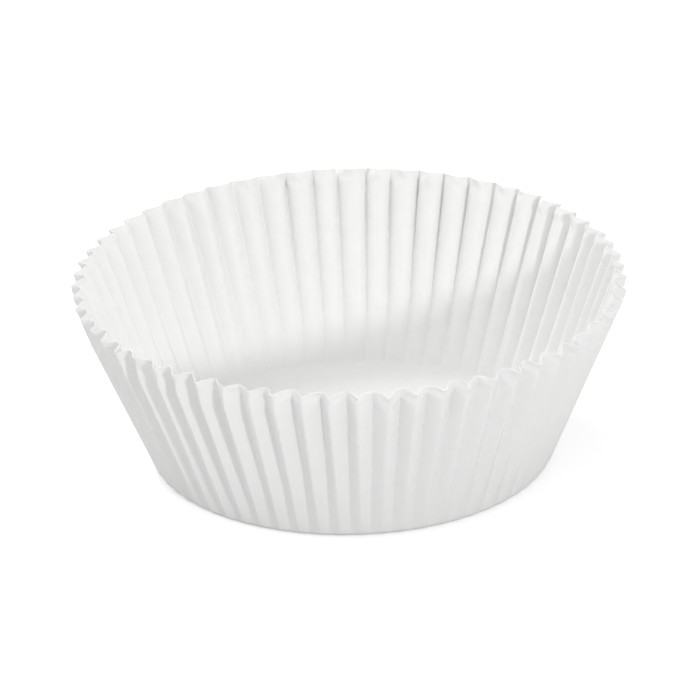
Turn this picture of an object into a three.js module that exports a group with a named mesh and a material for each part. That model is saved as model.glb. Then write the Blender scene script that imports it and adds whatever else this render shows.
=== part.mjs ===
// A fluted paper candy cup. One round sheet of thin greaseproof paper is pressed between
// fluted dies: its middle stays flat as the bottom, and the ring around it is gathered into
// radial pleats that stand up as the flared wall. Nothing is cut out or stretched, so every
// pleat is as deep as the paper's own width at that distance from the centre asks.
import * as THREE from 'three';

// Sizes in millimetres
const bottomDiameter = 38.1; // where the lines of the wall and the bottom would meet
const wallSlant = 19.15; // from that meeting to the rim, along an outer fold
const cornerRadius = 0.8; // bend between the bottom and the wall
const paperThickness = 0.06;
const foldNose = 0.11; // paper on each side of a fold that its blunt nose takes up

// The rim was not held by the dies, so the tips of the outer folds stand up again there. They
// bend at a slanting crease, which crosses each pleat side from low on the outer fold to
// higher on the inner one. These are the widths of paper between that crease and the rim.
const outerCreaseHeight = 2.6;
const innerCreaseHeight = 1.6;

// Angles in degrees
const wallFlare = 23.2; // lean of the outer folds from upright
const tipTurn = 5; // how much more upright their tips are, above the crease
const pleatClimb = 19; // rise of the way from an outer fold straight in to the inner ones
const firstFoldTurn = 1.6; // from the front, -Y, to the first outer fold

// Counts
const pleatCount = 62;
const cornerRows = 3; // facets around the bend above the bottom
const wallRows = 5; // facets up the straight wall

const paperColour = 0xf4f4f2;
const paperRoughness = 0.85;

// Worked out from the sizes
const pleatAngle = (2 * Math.PI) / pleatCount;
const outerFlare = THREE.MathUtils.degToRad(wallFlare);
const tipFlare = outerFlare - THREE.MathUtils.degToRad(tipTurn);
const inwardClimb = THREE.MathUtils.degToRad(pleatClimb);
const cornerTurn = Math.PI / 2 - outerFlare;
const cornerSetback = cornerRadius * Math.tan(cornerTurn / 2);
const flatRadius = bottomDiameter / 2 - cornerSetback;
const sheetRadius = flatRadius + cornerRadius * cornerTurn + wallSlant - cornerSetback;
const wallStart = flatRadius + cornerRadius * cornerTurn;

// Where the dies carry the paper of an outer fold that lies paperRadius from the sheet's
// centre: flat bottom, round corner, then straight wall. Radius and height, mid-thickness.
function diePoint(paperRadius) {
  const beyondFlat = Math.max(paperRadius - flatRadius, 0);
  const bent = Math.min(beyondFlat / cornerRadius, cornerTurn);
  const straight = beyondFlat - bent * cornerRadius;
  const radius = Math.min(paperRadius, flatRadius) + cornerRadius * Math.sin(bent);
  const height = cornerRadius * (1 - Math.cos(bent));
  return {
    radius: radius + straight * Math.cos(bent),
    height: height + straight * Math.sin(bent),
  };
}

function outerFold(paperRadius) {
  const creaseRadius = sheetRadius - outerCreaseHeight;
  const point = diePoint(Math.min(paperRadius, creaseRadius));
  const tip = Math.max(paperRadius - creaseRadius, 0);
  return {
    radius: point.radius + tip * Math.sin(tipFlare),
    height: point.height + tip * Math.cos(tipFlare),
  };
}

// A pleat side is as wide as half a pleat of the flat sheet, but the cup is narrower there
// than the sheet was. What is too much across goes into the depth of the pleat.
function innerFold(paperRadius) {
  const point = diePoint(paperRadius);
  const width = (paperRadius * pleatAngle) / 2;
  const room = (point.radius * pleatAngle) / 2;
  const depth = Math.sqrt(Math.max(width ** 2 - room ** 2, 0));
  return {
    radius: point.radius - depth * Math.cos(inwardClimb),
    height: point.height + depth * Math.sin(inwardClimb),
  };
}

function onCup(fold, angle) {
  return new THREE.Vector3(
    fold.radius * Math.cos(angle),
    fold.radius * Math.sin(angle),
    paperThickness / 2 + fold.height,
  );
}

// Each row of points runs once around the cup. A row is given by the paper radius that it
// has on the outer folds and on the inner folds. The rows of the wall are closer together
// near the bottom, where the pleats deepen fastest, and slant more and more up to the crease.
function paperRows() {
  const outerCrease = sheetRadius - outerCreaseHeight;
  const innerCrease = sheetRadius - innerCreaseHeight;
  const rows = [];
  for (let step = 0; step <= cornerRows; step += 1) {
    const radius = THREE.MathUtils.lerp(flatRadius, wallStart, step / cornerRows);
    rows.push({ atOuter: radius, atInner: radius });
  }
  for (let step = 1; step <= wallRows; step += 1) {
    const share = (step / wallRows) ** 1.5;
    rows.push({
      atOuter: THREE.MathUtils.lerp(wallStart, outerCrease, share),
      atInner: THREE.MathUtils.lerp(wallStart, innerCrease, share),
    });
  }
  rows.push({ atOuter: sheetRadius, atInner: sheetRadius });
  return rows;
}

// Four points a pleat, in order around the cup: both sides of the outer fold's nose are
// joined across the fold, and so are both sides of the inner fold's nose.
function rowPoints(row) {
  const firstOuter = -Math.PI / 2 + THREE.MathUtils.degToRad(firstFoldTurn);
  const points = [];
  for (let side = 0; side < 2 * pleatCount; side += 1) {
    const startsOuter = side % 2 === 0;
    const startAngle = firstOuter + (side * pleatAngle) / 2;
    const outerAngle = startsOuter ? startAngle : startAngle + pleatAngle / 2;
    const innerAngle = startsOuter ? startAngle + pleatAngle / 2 : startAngle;
    const sideWidth = (row.atOuter * pleatAngle) / 2;
    const nose = foldNose / sideWidth;
    const shares = startsOuter ? [nose, 1 - nose] : [1 - nose, nose];
    for (const share of shares) {
      const paperRadius = THREE.MathUtils.lerp(row.atOuter, row.atInner, share);
      const outer = onCup(outerFold(paperRadius), outerAngle);
      const inner = onCup(innerFold(paperRadius), innerAngle);
      points.push(outer.lerp(inner, share));
    }
  }
  return points;
}

function faceNormal(a, b, c, d) {
  const across = new THREE.Vector3().subVectors(c, a);
  const along = new THREE.Vector3().subVectors(d, b);
  return across.cross(along).normalize();
}

// Mitred offsets, one for each point of the middle surface, that set both faces of the
// paper half its thickness away. They point out of the cup.
function paperOffsets(rows) {
  const count = rows[0].length;
  const offsets = rows.map((row) => row.map(() => new THREE.Vector3()));
  const meeting = rows.map((row) => row.map(() => 0));
  for (let level = 0; level + 1 < rows.length; level += 1) {
    for (let place = 0; place < count; place += 1) {
      const next = (place + 1) % count;
      const normal = faceNormal(
        rows[level][place],
        rows[level][next],
        rows[level + 1][next],
        rows[level + 1][place],
      );
      for (const [up, round] of [[level, place], [level, next], [level + 1, place], [level + 1, next]]) {
        offsets[up][round].add(normal);
        meeting[up][round] += 1;
      }
    }
  }
  offsets.forEach((row, level) => {
    row.forEach((offset, place) => {
      offset.divideScalar(meeting[level][place]);
      offset.multiplyScalar(paperThickness / 2 / offset.lengthSq());
    });
  });
  offsets[0].forEach((offset) => offset.set(0, 0, -paperThickness / 2));
  return offsets;
}

// Outer and inner face, each with the flat bottom as a fan round its centre, joined by the
// cut edge of the paper at the rim.
function pleatedSheet() {
  const rows = paperRows().map(rowPoints);
  const offsets = paperOffsets(rows);
  const count = rows[0].length;
  const positions = [];
  const triangles = [];

  const addFace = (sign) => {
    const first = positions.length / 3;
    positions.push(0, 0, paperThickness / 2 - (sign * paperThickness) / 2);
    rows.forEach((row, level) => {
      row.forEach((point, place) => {
        const moved = point.clone().addScaledVector(offsets[level][place], sign);
        positions.push(moved.x, moved.y, moved.z);
      });
    });
    return (level, place) => first + 1 + level * count + (place % count);
  };
  const addTriangle = (a, b, c, outward) => {
    if (outward) triangles.push(a, b, c);
    else triangles.push(a, c, b);
  };

  for (const sign of [1, -1]) {
    const centre = positions.length / 3;
    const at = addFace(sign);
    const outward = sign > 0;
    for (let place = 0; place < count; place += 1) {
      addTriangle(centre, at(0, place + 1), at(0, place), outward);
      for (let level = 0; level + 1 < rows.length; level += 1) {
        const [a, b] = [at(level, place), at(level, place + 1)];
        const [c, d] = [at(level + 1, place + 1), at(level + 1, place)];
        addTriangle(a, b, c, outward);
        addTriangle(a, c, d, outward);
      }
    }
  }

  const facePoints = 1 + rows.length * count;
  const rim = rows.length - 1;
  for (let place = 0; place < count; place += 1) {
    const outside = 1 + rim * count + place;
    const outsideNext = 1 + rim * count + ((place + 1) % count);
    triangles.push(outside, outsideNext, outsideNext + facePoints);
    triangles.push(outside, outsideNext + facePoints, outside + facePoints);
  }

  const geometry = new THREE.BufferGeometry();
  geometry.setAttribute('position', new THREE.Float32BufferAttribute(positions, 3));
  geometry.setIndex(triangles);
  geometry.computeVertexNormals();
  return geometry;
}

const paper = new THREE.MeshStandardMaterial({
  color: paperColour,
  roughness: paperRoughness,
  metalness: 0,
});

const paperCup = new THREE.Mesh(pleatedSheet(), paper);
paperCup.name = 'paper_cup';

const group = new THREE.Group();
group.add(paperCup);

export default group;
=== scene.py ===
# %% [markdown]
# # A fluted paper candy cup
# The cup is one round sheet of thin white paper, pressed between fluted dies. This lesson
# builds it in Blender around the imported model: the same sheet, with the same pleats, but
# with soft folds, small crumples and a paper finish. Lengths are in metres, because that is
# Blender's unit; `MM` turns a maker's millimetres into them.

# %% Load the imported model
import math

import bpy
import numpy as np
from mathutils import Matrix, Vector


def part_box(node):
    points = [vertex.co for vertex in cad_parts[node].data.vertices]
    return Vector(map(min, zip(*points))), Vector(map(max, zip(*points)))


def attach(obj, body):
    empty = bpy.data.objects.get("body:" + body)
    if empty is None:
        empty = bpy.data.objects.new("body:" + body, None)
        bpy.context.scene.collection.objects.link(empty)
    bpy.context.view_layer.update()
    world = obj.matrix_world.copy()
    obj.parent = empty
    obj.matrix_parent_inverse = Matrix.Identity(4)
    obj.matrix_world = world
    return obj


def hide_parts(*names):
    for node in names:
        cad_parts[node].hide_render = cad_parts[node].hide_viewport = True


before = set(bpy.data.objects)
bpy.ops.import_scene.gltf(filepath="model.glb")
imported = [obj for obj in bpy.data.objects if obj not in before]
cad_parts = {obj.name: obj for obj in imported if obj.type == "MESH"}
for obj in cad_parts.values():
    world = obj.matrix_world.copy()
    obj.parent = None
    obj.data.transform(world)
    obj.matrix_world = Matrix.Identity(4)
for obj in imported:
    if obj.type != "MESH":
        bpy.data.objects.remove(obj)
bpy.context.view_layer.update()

MM = 0.001
cup_low, cup_high = (np.array(corner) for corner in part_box("paper_cup"))
print("cup box in mm:", np.round(cup_low / MM, 2), np.round(cup_high / MM, 2))

# %% [markdown]
# ## Sizes of the sheet
# These are the sizes that the solid model was drawn with. The pleats of a real cup can't be
# chosen freely: the sheet doesn't stretch, so at every distance from its centre the zigzag
# of the wall is as long as the circle that was drawn there on the flat sheet.

# %% Name the sizes
PLEATS = 62
FOLDS = 2 * PLEATS
BOTTOM_DIAMETER = 38.1 * MM  # where the lines of the wall and the bottom would meet
WALL_SLANT = 19.15 * MM  # from that meeting to the rim, along an outer fold
CORNER_RADIUS = 0.8 * MM
PAPER = 0.06 * MM
OUTER_CREASE_HEIGHT = 2.6 * MM  # paper between the loose tips' crease and the rim
INNER_CREASE_HEIGHT = 1.6 * MM
OUTER_FLARE = math.radians(23.2)  # lean of the outer folds from upright
TIP_TURN = math.radians(5)  # how much more upright their tips are
INWARD_CLIMB = math.radians(19)  # rise of the way from an outer fold in to the inner ones
FIRST_FOLD_TURN = math.radians(1.6)  # from the front, -Y, to the first outer fold

PLEAT_ANGLE = 2 * math.pi / PLEATS
CORNER_TURN = math.pi / 2 - OUTER_FLARE
CORNER_SETBACK = CORNER_RADIUS * math.tan(CORNER_TURN / 2)
FLAT_RADIUS = BOTTOM_DIAMETER / 2 - CORNER_SETBACK
WALL_START = FLAT_RADIUS + CORNER_RADIUS * CORNER_TURN
SHEET_RADIUS = WALL_START + WALL_SLANT - CORNER_SETBACK
print("flat sheet diameter in mm:", round(2 * SHEET_RADIUS / MM, 2))

# %% [markdown]
# ## The path of an outer fold
# A fold is a line on the paper that runs straight out from the sheet's centre. Along an
# outer fold the paper lies on the flat bottom, bends round the corner and climbs the wall.


# %% Follow the die
def die_point(paper_radius):
    """Radius and height of the paper that lies paper_radius from the sheet's centre."""
    beyond = np.maximum(paper_radius - FLAT_RADIUS, 0.0)
    bent = np.minimum(beyond / CORNER_RADIUS, CORNER_TURN)
    straight = beyond - bent * CORNER_RADIUS
    radius = np.minimum(paper_radius, FLAT_RADIUS) + CORNER_RADIUS * np.sin(bent)
    height = CORNER_RADIUS * (1 - np.cos(bent))
    return radius + straight * np.cos(bent), height + straight * np.sin(bent)


rim_radius, rim_height = die_point(SHEET_RADIUS)
print("rim in mm: radius", round(rim_radius / MM, 2), "height", round(rim_height / MM, 2))

# %% [markdown]
# ## How a pleat side bends
# Cut across, a pleat side isn't a straight line. The dies pinch one of its two folds: there
# the paper turns over a small round nose and runs steeply on, and towards the other fold it
# flattens out. At the back the outer folds are tight, which leaves broad strips inside with
# narrow dark grooves between them; at the front the inner folds are; in between the side is
# straighter. At the cut edge the pinch lets go. A form is given as steepness: the angle
# between the paper and the line around the cup, as a share of its largest value. Adding up
# small steps in that direction gives the curve.

# %% Four forms of a pleat side
TIGHT_NOSE, TIGHT_POWER = 0.08, 2.2
FRONT_NOSE, FRONT_POWER = 0.05, 0.35
PLAIN_NOSE, PLAIN_POWER = 0.05, 0.5
LOOSE_NOSE, LOOSE_POWER = 0.11, 0.5
CURVE_STEPS = 48
STEEPEST_BEND = 88  # degrees
STEP_MIDDLES = (np.arange(CURVE_STEPS) + 0.5) / CURVE_STEPS
BENDS = np.radians(np.linspace(0.0, STEEPEST_BEND, STEEPEST_BEND + 1))


def steepness(share, nose, power):
    """It rises over the nose, and the higher the power, the sooner it falls away again."""
    return np.clip(share / nose, 0, 1) * np.cos(np.pi / 2 * share) ** power


def outer_tight(share):
    """Pinched at the outer fold. The share of the side's width counts from there."""
    return steepness(share, TIGHT_NOSE, TIGHT_POWER)


def inner_tight(share):
    """Pinched at the inner fold, so the nose lies at that end."""
    return steepness(1 - share, FRONT_NOSE, FRONT_POWER)


def plain(share):
    """Nearly straight, with the inner fold rounder than the outer one."""
    return steepness(share, PLAIN_NOSE, PLAIN_POWER)


def loose(share):
    """At the cut edge both folds are round."""
    return steepness(share, LOOSE_NOSE, LOOSE_POWER)


def side_curve(form, share, slack):
    """Way around and way inward, up to a share of a side's width, for that width = 1.

    slack is the room around the cup that the whole side has, for a width of 1: the bend
    grows until the side fits into it.
    """
    room = np.cos(BENDS[:, None] * form(STEP_MIDDLES)).mean(axis=1)
    bend = np.interp(slack, room[::-1], BENDS[::-1])
    direction = bend[..., None] * form(share[..., None] * STEP_MIDDLES)
    return share * np.cos(direction).mean(axis=-1), share * np.sin(direction).mean(axis=-1)


rim_slack = rim_radius / SHEET_RADIUS
rim_side = SHEET_RADIUS * PLEAT_ANGLE / 2
for form in (outer_tight, inner_tight, plain, loose):
    depth = side_curve(form, np.array([1.0]), np.array([rim_slack]))[1][0]
    print(form.__name__, "depth at the rim in mm:", round(depth * rim_side / MM, 2))

# %% [markdown]
# ## The sheet as a grid
# Rows run around the cup, from the bottom to the rim, and columns run along the folds. Even
# folds are outer ones and odd folds are inner. Between two folds more columns follow the
# pleat's side, close together near the folds, where the paper bends most. A slanting crease
# crosses every side below the loose tips: a row runs along it, and its height differs a
# little from fold to fold. An azimuth counts from the front, -Y, to the right, +X.

# %% Choose rows and columns
SIDE_SHARES = np.array([0.0, 0.03, 0.06, 0.12, 0.24, 0.5, 0.76, 0.87, 0.94])
ROW_STEPS = {"corner": 5, "wall": 26, "tip": 10}
SEED = 62
CREASE_SPREAD = 0.16
CREASE_LIMIT = 0.3

random = np.random.default_rng(SEED)
fold_is_outer = np.arange(FOLDS) % 2 == 0
fold_azimuth = FIRST_FOLD_TURN + np.arange(FOLDS) * PLEAT_ANGLE / 2
crease_change = np.clip(random.normal(0.0, CREASE_SPREAD, FOLDS), -CREASE_LIMIT, CREASE_LIMIT)
crease_height = np.where(fold_is_outer, OUTER_CREASE_HEIGHT, INNER_CREASE_HEIGHT)
crease_height = crease_height * (1 + crease_change)
row_ends = np.array([
    np.full(FOLDS, FLAT_RADIUS),
    np.full(FOLDS, WALL_START),
    SHEET_RADIUS - crease_height,
    np.full(FOLDS, SHEET_RADIUS),
])
fold_rows = [row_ends[0]]
for start, end, steps in zip(row_ends, row_ends[1:], ROW_STEPS.values()):
    for step in range(1, steps + 1):
        fold_rows.append(start + (end - start) * step / steps)
fold_rows = np.array(fold_rows)

COLUMNS = FOLDS * len(SIDE_SHARES)
column_fold = np.repeat(np.arange(FOLDS), len(SIDE_SHARES))
column_next = (column_fold + 1) % FOLDS
column_share = np.tile(SIDE_SHARES, FOLDS)
column_azimuth = FIRST_FOLD_TURN + (column_fold + column_share) * PLEAT_ANGLE / 2
starts_outer = column_fold % 2 == 0
share_from_outer = np.where(starts_outer, column_share, 1 - column_share)


def between_folds(values):
    """Values given on every fold, spread over the columns between them."""
    near, far = values[..., column_fold], values[..., column_next]
    return near + (far - near) * column_share


def nearness(azimuths, centre, reach):
    """1 at the centre's azimuth, fading to 0 on both sides of it."""
    away = (azimuths - centre + math.pi) % (2 * math.pi) - math.pi
    return np.exp(-((away / reach) ** 2))


print("grid:", len(fold_rows), "rows of", COLUMNS, "points")

# %% [markdown]
# ## Bend the grid into the cup
# Each point lies between the two folds of its pleat side: the side's curve says how far
# around and how far inward. The plain form is blended with the tight ones around the back
# and the front, and with the loose one at the rim.

# %% Place every point of the paper's middle
LOOSE_REACH = 0.55 * MM
FRONT_AT = math.radians(12)
FRONT_REACH = math.radians(38)
BACK_AT = math.radians(166)
BACK_REACH = math.radians(30)

paper_radius = between_folds(fold_rows)
below_rim = SHEET_RADIUS - paper_radius
die_radius, die_height = die_point(paper_radius)
side_width = paper_radius * PLEAT_ANGLE / 2
slack = die_radius / paper_radius
share = share_from_outer + np.zeros(paper_radius.shape)

curve = np.array(side_curve(plain, share, slack))
for form, weight in (
    (outer_tight, nearness(column_azimuth, BACK_AT, BACK_REACH)),
    (inner_tight, nearness(column_azimuth, FRONT_AT, FRONT_REACH)),
    (loose, np.exp(-((below_rim / LOOSE_REACH) ** 2))),
):
    curve += (np.array(side_curve(form, share, slack)) - curve) * weight
around = curve[0] / slack
inward = curve[1] * side_width
radius = die_radius - inward * np.cos(INWARD_CLIMB)
height = die_height + inward * np.sin(INWARD_CLIMB)
fold_number = np.where(starts_outer, column_fold + around, column_fold + 1 - around)
angle = -math.pi / 2 + FIRST_FOLD_TURN + fold_number * PLEAT_ANGLE / 2
print("pleat depth at the rim in mm:", round(inward[-1].max() / MM, 2))

# %% [markdown]
# ## Lean and loose tips
# No two pleats of a pressed cup are quite alike. Each fold leans a little differently, out
# of a random generator with a fixed seed. Above the crease the tips of the outer folds stand
# up again: each by its own turn, more at the front left and a little less elsewhere.

# %% Lean the folds and turn their tips
LEAN_SPREAD = math.radians(0.2)
TIP_SPREAD = math.radians(2.5)
FRONT_TIP_TURN = math.radians(7)
FRONT_TIPS_AT = math.radians(-28)
FRONT_TIPS_REACH = math.radians(42)
OPENING_TURN = math.radians(1)

up_the_wall = np.clip((paper_radius - WALL_START) / (SHEET_RADIUS - WALL_START), 0, 1)
lean = between_folds(random.normal(0.0, LEAN_SPREAD, FOLDS)) * up_the_wall
radius = radius + WALL_SLANT * lean * math.cos(OUTER_FLARE)
height = height - WALL_SLANT * lean * math.sin(OUTER_FLARE)

front_tips = nearness(fold_azimuth, FRONT_TIPS_AT, FRONT_TIPS_REACH)
pressed = FRONT_TIP_TURN * front_tips - OPENING_TURN
tip_turn = TIP_TURN + pressed + random.normal(0.0, TIP_SPREAD, FOLDS)
tip_turn = np.where(fold_is_outer, tip_turn, 0.0)
tip_flare = OUTER_FLARE - between_folds(tip_turn)
above_crease = np.maximum(paper_radius - (SHEET_RADIUS - between_folds(crease_height)), 0)
radius = radius + above_crease * (np.sin(tip_flare) - math.sin(OUTER_FLARE))
height = height + above_crease * (np.cos(tip_flare) - math.cos(OUTER_FLARE))
print("largest turn of a tip in degrees:", round(math.degrees(tip_turn.max()), 1))

# %% [markdown]
# ## Kinks
# A ring of small kinks runs around the wall, where the sheet slipped in the dies. Each fold
# also stands a little beside its even place.

# %% Kink the folds and shift them around the cup
TURN_SPREAD = 0.05 * PLEAT_ANGLE
KINK_DEPTH = 6.0 * MM  # from the rim down to the ring
KINK_REACH = 1.3 * MM
KINK_SIZE = 0.07 * MM
KINK_WAVE = 1.5 * MM

kink_phase = random.uniform(0.0, 2 * math.pi, FOLDS)
kink_size = random.normal(0.0, KINK_SIZE, FOLDS)
fold_below_rim = SHEET_RADIUS - fold_rows
kink = kink_size * np.exp(-(((fold_below_rim - KINK_DEPTH) / KINK_REACH) ** 2))
kink = kink * np.sin(2 * math.pi * fold_below_rim / KINK_WAVE + kink_phase)
fold_turn = random.normal(0.0, TURN_SPREAD, FOLDS)
angle = angle + between_folds(fold_turn) * up_the_wall + between_folds(kink) / radius

middle = np.stack(
    [radius * np.cos(angle), radius * np.sin(angle), PAPER / 2 + height], axis=-1
)
print("largest kink in mm:", round(np.abs(kink).max() / MM, 2))
print("highest point in mm:", round(middle[..., 2].max() / MM, 2))

# %% [markdown]
# ## Crumples
# The loose tips are crumpled, and the wall below them very slightly. Many waves with sharp
# valleys, each in its own direction, add up to the creased look of handled paper. They move
# the paper along its normals.

# %% Crumple the paper and find its normals
CRUMPLE_WAVES = 30
CRUMPLE_LENGTHS = (0.6 * MM, 1.8 * MM)
CRUMPLE_AT_RIM = 0.06 * MM
CRUMPLE_ON_WALL = 0.008 * MM
CRUMPLE_REACH = 1.3 * MM
RIDGE_MEAN = 2 / math.pi  # mean of a sine without its sign
RIDGE_SPREAD = 0.308  # and its standard deviation


def grid_normals(points):
    """Unit normals, out of the cup, from the neighbours of each point."""
    across = np.roll(points, -1, axis=1) - np.roll(points, 1, axis=1)
    along = np.gradient(points, axis=0)
    normal = np.cross(across, along)
    normal = normal / np.linalg.norm(normal, axis=-1, keepdims=True)
    normal[0] = (0.0, 0.0, -1.0)
    return normal


def crumple(points):
    """A random height for each point, with mean 0 and spread 1."""
    bumps = np.zeros(points.shape[:2])
    for _ in range(CRUMPLE_WAVES):
        heading = random.normal(size=3)
        heading = heading / np.linalg.norm(heading)
        length = random.uniform(*CRUMPLE_LENGTHS)
        phase = random.uniform(0.0, 2 * math.pi)
        ridge = np.abs(np.sin(points @ heading * (math.pi / length) + phase))
        bumps += (ridge - RIDGE_MEAN) / RIDGE_SPREAD
    return bumps / math.sqrt(CRUMPLE_WAVES)


tip_crumple = CRUMPLE_AT_RIM * np.exp(-((below_rim / CRUMPLE_REACH) ** 2))
crumple_size = tip_crumple + CRUMPLE_ON_WALL * up_the_wall
middle = middle + (crumple(middle) * crumple_size)[..., None] * grid_normals(middle)
normals = grid_normals(middle)
print("spread of the crumples at the rim in mm:", round(crumple_size.max() / MM, 3))

# %% [markdown]
# ## Give the paper its thickness
# The outer and the inner face lie half the paper's thickness on either side of the middle,
# along its normals. Each has the flat bottom as a fan of triangles around the sheet's
# centre. At the rim a thin strip joins them: that is the cut edge of the sheet.

# %% Build both faces and the cut edge
SHARP_FROM = math.radians(50)
ROWS = len(fold_rows)


def grid_quads(base):
    """Corners of every cell of one face, counted from its first point."""
    row, column = np.meshgrid(np.arange(ROWS - 1), np.arange(COLUMNS), indexing="ij")
    start = base + row * COLUMNS
    following = (column + 1) % COLUMNS
    corners = [start + column, start + following]
    corners += [start + COLUMNS + following, start + COLUMNS + column]
    return np.stack(corners, axis=-1).reshape(-1, 4)


def paper_sheet():
    """Points and faces of the whole sheet."""
    column = np.arange(COLUMNS)
    following = (column + 1) % COLUMNS
    face_points = ROWS * COLUMNS + 1
    vertices, faces = [], []
    for base, sign in ((0, 1.0), (face_points, -1.0)):
        moved = middle + sign * PAPER / 2 * normals
        vertices += moved.reshape(-1, 3).tolist()
        vertices.append([0.0, 0.0, PAPER / 2 - sign * PAPER / 2])
        hub = np.full(COLUMNS, base + face_points - 1)
        fan = np.stack([hub, base + following, base + column], axis=-1)
        for part in (grid_quads(base), fan):
            faces += part.tolist() if sign > 0 else part[:, ::-1].tolist()
    rim = face_points - 1 - COLUMNS
    inside = rim + face_points
    edge = [rim + column, rim + following, inside + following, inside + column]
    faces += np.stack(edge, axis=-1).tolist()
    return vertices, faces


vertices, faces = paper_sheet()
sheet_mesh = bpy.data.meshes.new("pleated_sheet")
sheet_mesh.from_pydata(vertices, [], faces)
sheet_mesh.validate()
sheet_mesh.shade_smooth()
sheet_mesh.set_sharp_from_angle(angle=SHARP_FROM)
sheet = bpy.data.objects.new("pleated_sheet", sheet_mesh)
bpy.context.scene.collection.objects.link(sheet)
print("sheet:", len(vertices), "points,", len(faces), "faces")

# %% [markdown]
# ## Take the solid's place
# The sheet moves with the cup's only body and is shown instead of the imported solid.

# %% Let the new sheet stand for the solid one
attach(sheet, "root")
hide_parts("paper_cup")
print(sheet.name, "stands for paper_cup")

# %% [markdown]
# ## Paper
# Greaseproof paper is matt, nearly white and a little cloudy. A soft noise stands for the
# cloudiness and shifts the colour. A much finer one stands for the fibres: it varies the
# roughness and raises a bump of less than a hundredth of a millimetre.

# %% Make helpers for the materials
# A Mix node has a set of sockets for each kind of value, so they are picked by number.
MIX_FACTOR = 0
COLOUR_A, COLOUR_B, COLOUR_RESULT = 6, 7, 2
NUMBER_A, NUMBER_B, NUMBER_RESULT = 2, 3, 0


def new_material(name):
    material = bpy.data.materials.new(name)
    material.use_nodes = True
    tree = material.node_tree
    return material, tree, tree.nodes["Principled BSDF"]


def link(tree, source, target):
    tree.links.new(source, target)


def object_noise(tree, scale, detail, distortion):
    """A noise that stays with the object."""
    coordinates = tree.nodes.new("ShaderNodeTexCoord")
    noise = tree.nodes.new("ShaderNodeTexNoise")
    noise.inputs["Scale"].default_value = scale
    noise.inputs["Detail"].default_value = detail
    noise.inputs["Distortion"].default_value = distortion
    link(tree, coordinates.outputs["Object"], noise.inputs["Vector"])
    return noise


# %% Make the paper
PAPER_WHITE = (0.85, 0.85, 0.846, 1.0)
PAPER_CLOUD = (0.81, 0.81, 0.804, 1.0)
PAPER_ROUGHNESS = (0.72, 0.9)
PAPER_SPECULAR = 0.25
CLOUD_SCALE, CLOUD_DETAIL, CLOUD_DISTORTION = 900.0, 4.0, 0.0
FIBRE_SCALE, FIBRE_DETAIL, FIBRE_DISTORTION = 5200.0, 3.0, 1.2
FIBRE_BUMP = 0.008 * MM
FIBRE_STRENGTH = 0.6

paper, tree, shader = new_material("greaseproof_paper")
shader.inputs["Specular IOR Level"].default_value = PAPER_SPECULAR

cloud = object_noise(tree, CLOUD_SCALE, CLOUD_DETAIL, CLOUD_DISTORTION)
tone = tree.nodes.new("ShaderNodeMix")
tone.data_type = "RGBA"
tone.inputs[COLOUR_A].default_value = PAPER_CLOUD
tone.inputs[COLOUR_B].default_value = PAPER_WHITE
link(tree, cloud.outputs["Fac"], tone.inputs[MIX_FACTOR])
link(tree, tone.outputs[COLOUR_RESULT], shader.inputs["Base Color"])

fibre = object_noise(tree, FIBRE_SCALE, FIBRE_DETAIL, FIBRE_DISTORTION)
rough = tree.nodes.new("ShaderNodeMapRange")
rough.inputs["To Min"].default_value, rough.inputs["To Max"].default_value = PAPER_ROUGHNESS
link(tree, fibre.outputs["Fac"], rough.inputs["Value"])
link(tree, rough.outputs["Result"], shader.inputs["Roughness"])
bump = tree.nodes.new("ShaderNodeBump")
bump.inputs["Strength"].default_value = FIBRE_STRENGTH
bump.inputs["Distance"].default_value = FIBRE_BUMP
link(tree, fibre.outputs["Fac"], bump.inputs["Height"])
link(tree, bump.outputs["Normal"], shader.inputs["Normal"])
sheet.data.materials.append(paper)
print("paper:", len(tree.nodes), "nodes in", paper.name)

# %% [markdown]
# ## Floor
# The cup stands on a plain floor of a pale grey, which doesn't throw too much light up at
# it. A glow that only the camera sees lifts the floor to white and leaves the shadow in it.

# %% Lay the floor
WHITE = (1.0, 1.0, 1.0, 1.0)
FLOOR_SIZE = 3.0
FLOOR_DROP = 0.02 * MM  # keeps the floor clear of the cup's underside
FLOOR_GREY = (0.7, 0.7, 0.7, 1.0)
FLOOR_ROUGHNESS = 0.9
FLOOR_GLOW = 0.44

half = FLOOR_SIZE / 2
floor_corners = [(-half, -half, 0), (half, -half, 0), (half, half, 0), (-half, half, 0)]
floor_mesh = bpy.data.meshes.new("floor")
floor_mesh.from_pydata(floor_corners, [], [(0, 1, 2, 3)])
floor = bpy.data.objects.new("floor", floor_mesh)
floor.location.z = -FLOOR_DROP
bpy.context.scene.collection.objects.link(floor)

floor_paint, tree, shader = new_material("white_floor")
shader.inputs["Base Color"].default_value = FLOOR_GREY
shader.inputs["Roughness"].default_value = FLOOR_ROUGHNESS
shader.inputs["Specular IOR Level"].default_value = 0.0
rays = tree.nodes.new("ShaderNodeLightPath")
glow_strength = tree.nodes.new("ShaderNodeMath")
glow_strength.operation = "MULTIPLY"
glow_strength.inputs[1].default_value = FLOOR_GLOW
link(tree, rays.outputs["Is Camera Ray"], glow_strength.inputs[0])
glow = tree.nodes.new("ShaderNodeEmission")
glow.inputs["Color"].default_value = WHITE
link(tree, glow_strength.outputs[0], glow.inputs["Strength"])
both = tree.nodes.new("ShaderNodeAddShader")
link(tree, shader.outputs[0], both.inputs[0])
link(tree, glow.outputs[0], both.inputs[1])
link(tree, both.outputs[0], tree.nodes["Material Output"].inputs["Surface"])
floor.data.materials.append(floor_paint)
print("floor:", FLOOR_SIZE, "m wide, lifted by", FLOOR_GLOW, "for the camera")

# %% [markdown]
# ## Light
# A pale world fills the shadows. The camera and shiny surfaces see it as plain white.

# %% Light the world
WORLD_FILL = 0.76
WORLD_SEEN = 1.0

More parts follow.
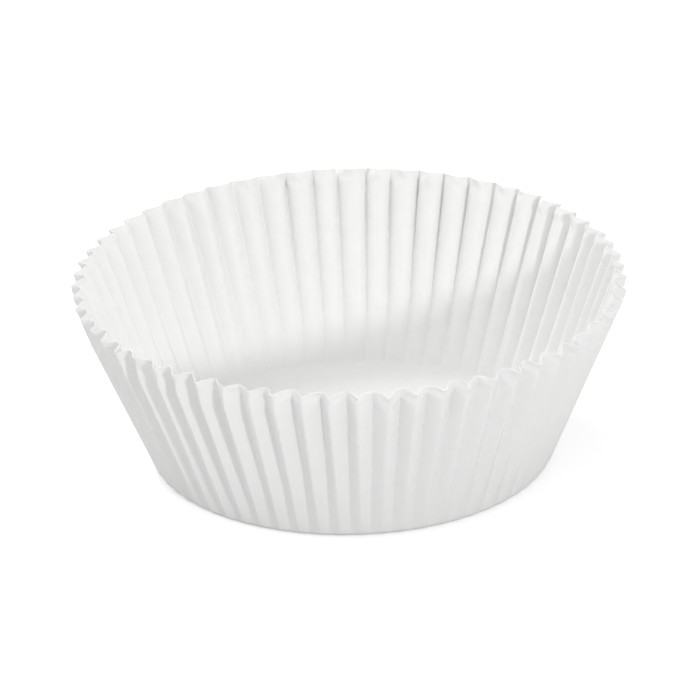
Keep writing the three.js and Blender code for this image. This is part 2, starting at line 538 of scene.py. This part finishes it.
world = bpy.data.worlds.new("studio")
bpy.context.scene.world = world
world.use_nodes = True
tree = world.node_tree
background = tree.nodes["Background"]
background.inputs["Color"].default_value = WHITE
rays = tree.nodes.new("ShaderNodeLightPath")
is_seen = tree.nodes.new("ShaderNodeMath")
is_seen.operation = "MAXIMUM"
link(tree, rays.outputs["Is Camera Ray"], is_seen.inputs[0])
link(tree, rays.outputs["Is Glossy Ray"], is_seen.inputs[1])
strength = tree.nodes.new("ShaderNodeMix")
strength.inputs[NUMBER_A].default_value = WORLD_FILL
strength.inputs[NUMBER_B].default_value = WORLD_SEEN
link(tree, is_seen.outputs[0], strength.inputs[MIX_FACTOR])
link(tree, strength.outputs[NUMBER_RESULT], background.inputs["Strength"])
print("world:", WORLD_FILL, "as a light,", WORLD_SEEN, "to the eye")

# %% [markdown]
# Four round lamps point at the cup. The key lamp is small and low, to the right of the
# front, and brings out the sides of the pleats. The large ones at the left, above and behind
# give softer light. The one behind is the strongest.

# %% Hang the lamps
LAMP_DISTANCE = 0.9
# Azimuth and elevation in degrees, diameter in metres, power in watts
LAMPS = {
    "key_lamp": (27, 20, 0.08, 2.1),
    "left_lamp": (-80, 45, 0.45, 0.8),
    "top_lamp": (0, 84, 0.35, 0.5),
    "back_lamp": (-150, 50, 0.35, 3.0),
}


def lamp_place(azimuth, elevation):
    """A point LAMP_DISTANCE away, as seen from the cup."""
    turn, rise = math.radians(azimuth), math.radians(elevation)
    level = math.cos(rise)
    way = Vector((level * math.sin(turn), -level * math.cos(turn), math.sin(rise)))
    return LAMP_DISTANCE * way


def hang_lamp(name, at, diameter, power):
    lamp = bpy.data.lights.new(name, "AREA")
    lamp.shape = "DISK"
    lamp.size = diameter
    lamp.energy = power
    holder = bpy.data.objects.new(name, lamp)
    holder.location = at
    holder.rotation_euler = (-Vector(at)).to_track_quat("-Z", "Y").to_euler()
    bpy.context.scene.collection.objects.link(holder)


for name, (azimuth, elevation, diameter, power) in LAMPS.items():
    hang_lamp(name, lamp_place(azimuth, elevation), diameter, power)
    print(name, "at", azimuth, "and", elevation, "degrees,", power, "W")

# %% [markdown]
# ## Camera
# The camera looks down at the cup by about 25 degrees through a long lens from a metre away,
# turned a degree or so about its own axis, because the cup stands a little askew in the
# picture. It is shifted so that the middle of the cup comes out at `AIM_PIXEL`.

# %% Place the camera
CAMERA_DISTANCE = 1.0
CAMERA_ELEVATION = math.radians(25.0)
CAMERA_ROLL = math.radians(-1.45)
SENSOR_WIDTH = 36.0
VIEW_END = 10.0
PICTURE_WIDTH = 700
PIXELS_PER_MM = 10.48
AIM_HEIGHT = 9 * MM
AIM_PIXEL = (350.8, 364.0)

sin_e, cos_e = math.sin(CAMERA_ELEVATION), math.cos(CAMERA_ELEVATION)
sideways = Vector((1, 0, 0))
rising = Vector((0, sin_e, cos_e))
to_camera = Vector((0, -cos_e, sin_e))
right = math.cos(CAMERA_ROLL) * sideways + math.sin(CAMERA_ROLL) * rising
up = -math.sin(CAMERA_ROLL) * sideways + math.cos(CAMERA_ROLL) * rising

off_x = (PICTURE_WIDTH / 2 - AIM_PIXEL[0]) / PIXELS_PER_MM * MM
off_y = (AIM_PIXEL[1] - PICTURE_WIDTH / 2) / PIXELS_PER_MM * MM
aim = Vector((0, 0, AIM_HEIGHT)) + right * off_x + up * off_y
eye = aim + to_camera * CAMERA_DISTANCE

lens = bpy.data.cameras.new("camera")
lens.sensor_width = SENSOR_WIDTH
lens.lens = lens.sensor_width * (PIXELS_PER_MM / MM * CAMERA_DISTANCE) / PICTURE_WIDTH
lens.clip_end = VIEW_END
camera = bpy.data.objects.new("camera", lens)
camera.matrix_world = Matrix((
    (right.x, up.x, to_camera.x, eye.x),
    (right.y, up.y, to_camera.y, eye.y),
    (right.z, up.z, to_camera.z, eye.z),
    (0, 0, 0, 1),
))
bpy.context.scene.collection.objects.link(camera)
bpy.context.scene.camera = camera
bpy.context.scene.view_settings.view_transform = "Standard"
print("lens in mm:", round(lens.lens, 1))
